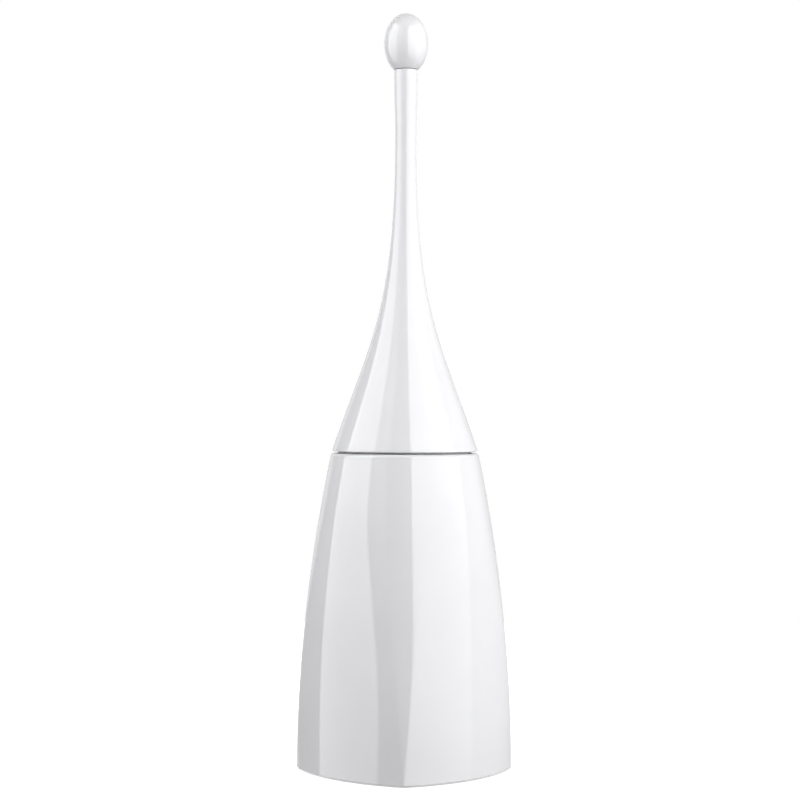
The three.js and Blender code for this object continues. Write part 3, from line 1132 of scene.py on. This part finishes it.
class BRUSHSET_OT_stem(PieceOperator, bpy.types.Operator):
    """Adds the stem from the lid plate down to the brush head"""

    bl_idname = "brush_set.stem"
    bl_label = "Stem"
    shoulder_rise = 10 * MM  # from the lid plate's foot to the stem's shoulder
    flare = 12 * MM

    def build(self, sizes):
        node = "stem"
        low, high = bottom(node), top(node)
        shoulder = bottom("lid_plate") + self.shoulder_rise - TOUCH
        head_top = top("brush_core") + TOUCH
        radius = reach_at(node, head_top)
        collar = reach(node)
        spigot = reach_at(node, low)
        upper = reach_at(node, high)
        hollow = bore_at(node, high)
        curve = bezier(
            (radius, shoulder - self.flare),
            (radius, shoulder - self.flare / 2),
            (collar, shoulder - self.flare / 2),
            (collar, shoulder - MM),
            20,
        )
        outline = soften(
            [
                (0, low),
                (spigot, low, 0.6 * MM),
                (spigot, head_top, 0.2 * MM),
                (radius, head_top, 0.6 * MM),
                *[(p.x, p.y) for p in curve],
                (collar, shoulder, 0.3 * MM),
                (upper, shoulder, 0.2 * MM),
                (upper, high, 0.4 * MM),
                (hollow, high, 0.2 * MM),
                (hollow, bottom("stem_insert") - TOUCH, 0.3 * MM),
                (0, bottom("stem_insert") - TOUCH),
            ]
        )
        fit(turned(node + "_moulding", outline, 96), "brush", "satin_white", node)


class BRUSHSET_OT_brush_core(PieceOperator, bpy.types.Operator):
    """Adds the core that holds the tufts, with its neck and grip rings"""

    bl_idname = "brush_set.brush_core"
    bl_label = "Brush Core"
    socket_depth = 22 * MM
    grip_rings = 3
    ring_pitch = 1.6 * MM
    ring_shrink = 0.6 * MM  # each ring is this much smaller than the one below it

    def build(self, sizes):
        node = "brush_core"
        low, high = bottom(node), top(node)
        radius = reach(node)
        neck = reach_at(node, high)
        socket = bore_at(node, high)
        socket_low = high - self.socket_depth
        dome = ellipse(0, low + DOME, radius, DOME, -QUARTER, 0, 24)
        rings = []
        for ring in range(self.grip_rings):
            middle = high - 7.4 * MM + self.ring_pitch * ring
            out = radius - 1.2 * MM - self.ring_shrink * ring
            rings += [
                (out - 0.5 * MM, middle - 0.6 * MM, 0.15 * MM),
                (out, middle - 0.3 * MM, 0.15 * MM),
                (out, middle + 0.3 * MM, 0.15 * MM),
                (out - 0.5 * MM, middle + 0.6 * MM, 0.15 * MM),
            ]
        outline = soften(
            [
                *[(max(p.x, 0), p.y) for p in dome],
                (radius, high - 10 * MM, 0.8 * MM),
                *rings,
                (neck, high - 1.6 * MM, 0.3 * MM),
                (neck, high, 0.6 * MM),
                (socket, high, 0.4 * MM),
                (socket, socket_low, 0.3 * MM),
                (0, socket_low),
            ]
        )
        fit(turned(node + "_moulding", outline, 96), "brush", "satin_white", node)


STATIONS = 6  # rings of points along a strand
STRAND_SIDES = 3
CRIMP_STEP = 2.2  # turn of the crimp's wave from one ring to the next
STRAND_TAPER = 0.25


def filaments(name, roots, tips, sizes, rng):
    """One object of crimped strands from each root to its tip."""
    stations, sides = STATIONS, STRAND_SIDES
    count = len(roots)
    roots, tips = np.array(roots), np.array(tips)
    along = tips - roots
    lengths = np.linalg.norm(along, axis=1, keepdims=True)
    along /= lengths
    across = np.cross(along, rng.normal(size=(count, 3)))
    across /= np.linalg.norm(across, axis=1, keepdims=True)
    third = np.cross(along, across)
    phase = rng.uniform(0, math.tau, (count, 1))
    rings = []
    for station in range(stations):
        t = station / (stations - 1)
        wave = sizes.crimp * min(1, 3 * t) * np.sin(phase + station * CRIMP_STEP)
        middle = roots + along * lengths * t + across * wave
        thick = sizes.filament / 2 * (1 - STRAND_TAPER * t)
        for side in range(sides):
            turn = math.tau * side / sides
            rings.append(middle + thick * (math.cos(turn) * across + math.sin(turn) * third))
    points = np.stack(rings, 1).reshape(-1, 3)
    per_strand = stations * sides
    pattern = []
    for station in range(stations - 1):
        for side in range(sides):
            here, beside = station * sides + side, station * sides + (side + 1) % sides
            pattern.append((here, beside, beside + sides, here + sides))
    caps = [(2, 1, 0), tuple(per_strand - sides + s for s in range(sides))]
    faces = []
    for strand in range(count):
        first = strand * per_strand
        faces += [tuple(first + i for i in face) for face in pattern + caps]
    return body(name, points, faces)


class BRUSHSET_OT_bristles(PieceOperator, bpy.types.Operator):
    """Adds the bristles: rows of tufts round the core and splayed tufts at its end"""

    bl_idname = "brush_set.bristles"
    bl_label = "Bristles"
    row_seed = 100
    row_root_gap = 1.6 * MM  # between the roots of a row's two halves
    row_root_width = 0.055  # half angle of a tuft at its root
    row_root_height = 0.7 * MM  # and half its height there
    row_fan = 0.55  # share of the room between tufts that their tips spread over
    row_stray = (0.15, 0.1)  # how unevenly they do so, round the row and up it
    row_uneven = 0.7 * MM  # how much shorter one strand is than another
    tip_seed = 200
    tip_tufts = (1, 6, 11, 15)  # tufts in each ring of the end, from its middle out
    tip_rings = 3.4  # rings that would reach from the middle to level
    tip_root_width = 0.09
    tip_fan = (0.22, 0.26)  # half angles that a tuft's tips spread over, out and round
    tip_stray = 0.03
    tip_uneven = 0.02
    more_in_tip = 6  # strands in a tuft there, over those in a row's
    sunk = 0.6 * MM  # how far the roots are set into the core

    def build(self, sizes):
        rows = sorted(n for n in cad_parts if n.startswith("bristle_row_"))
        core = reach("brush_core")
        for index, node in enumerate(rows):
            self.row(node, index, core, sizes)
        self.tip("bristle_tip", core, sizes)

    def row(self, node, index, core, sizes):
        rng = np.random.default_rng(self.row_seed + index)
        low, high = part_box(node)
        tip_radius = high.x
        middle = (low.z + high.z) / 2
        half = (high.z - low.z) / 2 - 0.5 * MM
        roots, tips = [], []
        stray_round, stray_up = self.row_stray
        step = math.tau / sizes.tufts
        for upper in (0, 1):
            for tuft in range(sizes.tufts):
                angle = (tuft + 0.5 * upper + 0.25 * index) * step
                for _ in range(sizes.per_tuft):
                    u, v = rng.uniform(-1, 1, 2)
                    root_angle = angle + self.row_root_width * u
                    root_height = middle + (upper - 0.5) * self.row_root_gap
                    root_height += self.row_root_height * v
                    tip_angle = angle + step * self.row_fan * (u + stray_round * rng.normal())
                    lift = (upper - 0.5) * half
                    lift += self.row_fan * half * (v + stray_up * rng.normal())
                    tip_height = middle + float(np.clip(lift, -half, half))
                    out = tip_radius - 0.4 * MM - abs(rng.normal()) * self.row_uneven
                    roots.append(self.polar(core - self.sunk, root_angle, root_height))
                    tips.append(self.polar(out, tip_angle, tip_height))
        piece = filaments(node + "_tufts", roots, tips, sizes, rng)
        fit(piece, "brush", "bristle_nylon", node)

    def tip(self, node, core, sizes):
        rng = np.random.default_rng(self.tip_seed)
        low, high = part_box(node)
        depth = high.z - low.z
        wide = high.x
        dome_low = bottom("brush_core")
        roots, tips = [], []
        fan_out, fan_round = self.tip_fan
        for ring, tufts in enumerate(self.tip_tufts):
            lean = ring / self.tip_rings * QUARTER
            for tuft in range(tufts):
                turn = math.tau * (tuft + 0.5 * (ring % 2)) / tufts
                for _ in range(sizes.per_tuft + self.more_in_tip):
                    u, v = rng.uniform(-1, 1, 2)
                    root_lean = lean + self.tip_root_width * u
                    root_turn = turn + self.tip_root_width * v / max(math.sin(lean), 0.3)
                    root_radius = core * math.sin(root_lean)
                    root_height = dome_low + DOME * (1 - math.cos(root_lean)) + 0.5 * MM
                    tip_lean = min(lean + fan_out * u + self.tip_stray * rng.normal(), QUARTER)
                    tip_turn = turn + fan_round * v / max(math.sin(lean), 0.35)
                    short = 1 - self.tip_uneven * abs(rng.normal())
                    out = wide * math.sin(tip_lean) * short - 0.5 * MM
                    down = high.z - depth * math.cos(tip_lean) * short
                    roots.append(self.polar(root_radius, root_turn, root_height))
                    tips.append(self.polar(out, tip_turn, max(down, low.z + 0.6 * MM)))
        piece = filaments(node + "_tufts", roots, tips, sizes, rng)
        fit(piece, "brush", "bristle_nylon", node)

    @staticmethod
    def polar(radius, angle, height):
        return radius * math.cos(angle), radius * math.sin(angle), height


# ---- Stage --------------------------------------------------------------------------------

CAMERA_AZIMUTH = math.radians(45)  # a corner of the holder faces the camera


def level_direction(degrees):
    """A level direction from the holder, at an angle to the right of the camera."""
    angle = CAMERA_AZIMUTH + math.radians(degrees)
    return Vector((math.sin(angle), -math.cos(angle), 0))


class SoftPanel:
    """An upright soft light that spans two angles, dimmer towards its foot."""

    distance = 0.9
    foot, head = -0.3, 1.6
    stops = (0.0, 0.21, 0.47, 1.0)  # shares of the height where `levels` are given

    def __init__(self, name, start, end, near, far, levels):
        """`near` and `far` are its radiance at the start and at the end of its span."""
        half = math.radians(end - start) / 2
        light = bpy.data.lights.new(name, "AREA")
        light.shape = "RECTANGLE"
        light.size = 2 * self.distance * math.tan(half)
        light.size_y = self.head - self.foot
        # An area light of this power has a radiance of one.
        light.energy = light.size * light.size_y * math.pi
        light.use_nodes = True
        self.shade(light.node_tree, near, far, levels)
        lamp = bpy.data.objects.new(name, light)
        toward = level_direction((start + end) / 2)
        lamp.location = toward * self.distance + Vector((0, 0, (self.foot + self.head) / 2))
        lamp.rotation_mode = "QUATERNION"
        lamp.rotation_quaternion = toward.to_track_quat("Z", "Y")
        lamp.visible_camera = False
        bpy.context.scene.collection.objects.link(lamp)
        self.lamp = lamp

    def shade(self, tree, near, far, levels):
        tree.nodes.clear()
        place = add_node(tree, "ShaderNodeNewGeometry").outputs["Parametric"]
        split = add_node(tree, "ShaderNodeSeparateXYZ", inputs={"Vector": place})
        ramp = add_node(tree, "ShaderNodeValToRGB", inputs={"Fac": split.outputs["Y"]})
        marks = ramp.color_ramp.elements
        while len(marks) < len(self.stops):
            marks.new(0.5)
        for mark, stop, level in zip(marks, self.stops, levels):
            mark.position = stop
            mark.color = (level, level, level, 1)
        across = add_node(
            tree,
            "ShaderNodeMapRange",
            inputs={"Value": split.outputs["X"], "To Min": near, "To Max": far},
        )
        strength = across.outputs["Result"]
        inputs = {"Color": ramp.outputs["Color"], "Strength": strength}
        glow = add_node(tree, "ShaderNodeEmission", inputs=inputs)
        add_node(tree, "ShaderNodeOutputLight", inputs={"Surface": glow.outputs["Emission"]})


class BRUSHSET_OT_stage(bpy.types.Operator):
    """Adds the pale floor, the soft lights and the camera"""

    bl_idname = "brush_set.stage"
    bl_label = "Stage"

    camera_distance = 1.3314
    camera_height = 0.2351
    camera_pitch = 0.0006
    camera_yaw = 0.0024
    camera_roll = 0.003
    camera_lens = 94.25
    # Each soft panel: two angles from the camera, positive to its right, in degrees, its
    # radiance at each of them, and how that changes from its foot to its head.
    panels = {
        "left": (-106, -52, 3.7, 3.5, (0.5, 0.72, 1.0, 0.9)),
        "gap": (-52, -26, 1.5, 1.5, (0.13, 0.13, 0.6, 1.0)),
        "right": (10, 89, 3.7, 3.1, (0.48, 0.8, 1.0, 1.0)),
        "right_back": (89, 135, 1.6, 0.8, (0.55, 1.0, 0.85, 0.7)),
        "back": (135, 220, 0.5, 0.8, (1.0, 1.0, 1.0, 1.0)),
        "left_back": (220, 254, 0.2, 0.1, (1.0, 1.0, 1.0, 1.0)),
    }
    fill = (150, 210, 1.3, 1.3, (1.0, 1.0, 1.0, 1.0))
    # Radiances of the discs and of the room.
    overhead = 0.15
    underneath = 1.4
    sky = 0.03
    floor_radius = 0.88
    floor_thickness = 4 * MM
    camera_sensor = 36

    def execute(self, context):
        self.floor()
        for name, panel in self.panels.items():
            SoftPanel(name, *panel)
        # The fill brightens the back without showing as an edge along the sides.
        SoftPanel("fill", *self.fill).lamp.visible_glossy = False
        self.round_lamp("overhead", SoftPanel.head, self.overhead)
        # Only the shine of the lowest roundings shows this one, as it would a pale table top.
        glint = self.round_lamp("underneath", SoftPanel.foot, self.underneath)
        glint.rotation_euler.x = math.pi
        glint.visible_diffuse = False
        self.world(context.scene)
        self.camera(context.scene)
        context.scene.view_settings.view_transform = "Standard"
        return {"FINISHED"}

    def floor(self):
        radius, low = self.floor_radius, -self.floor_thickness
        outline = [(0, low), (radius, low), (radius, 0), (0, 0)]
        floor = turned("floor", outline, 96)
        floor.data.materials.append(material_for("floor"))
        # The panels reach below the floor, so that they show down to the holder's foot.
        floor.visible_glossy = False
        floor.visible_diffuse = False
        floor.visible_shadow = False

    @staticmethod
    def round_lamp(name, height, radiance):
        """A level disc light as wide as the ring of panels, which shines down."""
        light = bpy.data.lights.new(name, "AREA")
        light.shape = "DISK"
        radius = SoftPanel.distance
        light.size = 2 * radius
        light.energy = radiance * math.pi * radius**2 * math.pi
        lamp = bpy.data.objects.new(name, light)
        lamp.location.z = height
        lamp.visible_camera = False
        bpy.context.scene.collection.objects.link(lamp)
        return lamp

    def world(self, scene):
        world = bpy.data.worlds.new("Studio")
        world.use_nodes = True
        tree = world.node_tree
        tree.nodes.clear()
        path = add_node(tree, "ShaderNodeLightPath")
        seen = path.outputs["Is Camera Ray"]
        room = (self.sky, self.sky, self.sky, 1)
        shade = add_node(
            tree, "ShaderNodeMix", {"data_type": "RGBA"}, {0: seen, 6: room, 7: (1, 1, 1, 1)}
        )
        backdrop = add_node(tree, "ShaderNodeBackground", inputs={"Color": shade.outputs[2]})
        backdrop_light = backdrop.outputs["Background"]
        add_node(tree, "ShaderNodeOutputWorld", inputs={"Surface": backdrop_light})
        scene.world = world

    def camera(self, scene):
        data = bpy.data.cameras.new("Camera")
        data.lens = self.camera_lens
        data.sensor_width = self.camera_sensor
        data.clip_start, data.clip_end = 0.05, 30
        camera = bpy.data.objects.new("Camera", data)
        toward = level_direction(0)
        camera.location = toward * self.camera_distance + Vector((0, 0, self.camera_height))
        turn = Matrix.Rotation(CAMERA_AZIMUTH + self.camera_yaw, 4, "Z")
        pitch = Matrix.Rotation(QUARTER - self.camera_pitch, 4, "X")
        roll = Matrix.Rotation(self.camera_roll, 4, "Z")
        camera.matrix_world = Matrix.Translation(camera.location) @ turn @ pitch @ roll
        scene.collection.objects.link(camera)
        scene.camera = camera


PIECES = (
    BRUSHSET_OT_holder_shell,
    BRUSHSET_OT_base_plate,
    BRUSHSET_OT_feet,
    BRUSHSET_OT_base_screws,
    BRUSHSET_OT_drip_liner,
    BRUSHSET_OT_seat_ring,
    BRUSHSET_OT_handle_cone,
    BRUSHSET_OT_knob,
    BRUSHSET_OT_inserts,
    BRUSHSET_OT_core_rod,
    BRUSHSET_OT_lid_plate,
    BRUSHSET_OT_stem,
    BRUSHSET_OT_brush_core,
    BRUSHSET_OT_bristles,
    BRUSHSET_OT_stage,
)


class BRUSHSET_PT_panel(bpy.types.Panel):
    bl_idname = "BRUSHSET_PT_panel"
    bl_label = "Toilet Brush and Holder"
    bl_space_type = "VIEW_3D"
    bl_region_type = "UI"
    bl_category = "Brush Set"

    def draw(self, context):
        for group in (context.scene.brush_set_sizes, context.scene.brush_set_colours):
            column = self.layout.column(align=True)
            for name in group.__annotations__:
                column.prop(group, name)
        for piece in PIECES:
            self.layout.operator(piece.bl_idname)


CLASSES = (BrushSetSizes, BrushSetColours, *PIECES, BRUSHSET_PT_panel)


def register():
    for cls in CLASSES:
        bpy.utils.register_class(cls)
    bpy.types.Scene.brush_set_sizes = PointerProperty(type=BrushSetSizes)
    bpy.types.Scene.brush_set_colours = PointerProperty(type=BrushSetColours)


def unregister():
    del bpy.types.Scene.brush_set_colours
    del bpy.types.Scene.brush_set_sizes
    for cls in reversed(CLASSES):
        bpy.utils.unregister_class(cls)


def main():
    register()
    for piece in PIECES:
        group, name = piece.bl_idname.split(".")
        getattr(getattr(bpy.ops, group), name)()


if __name__ == "__main__":
    main()
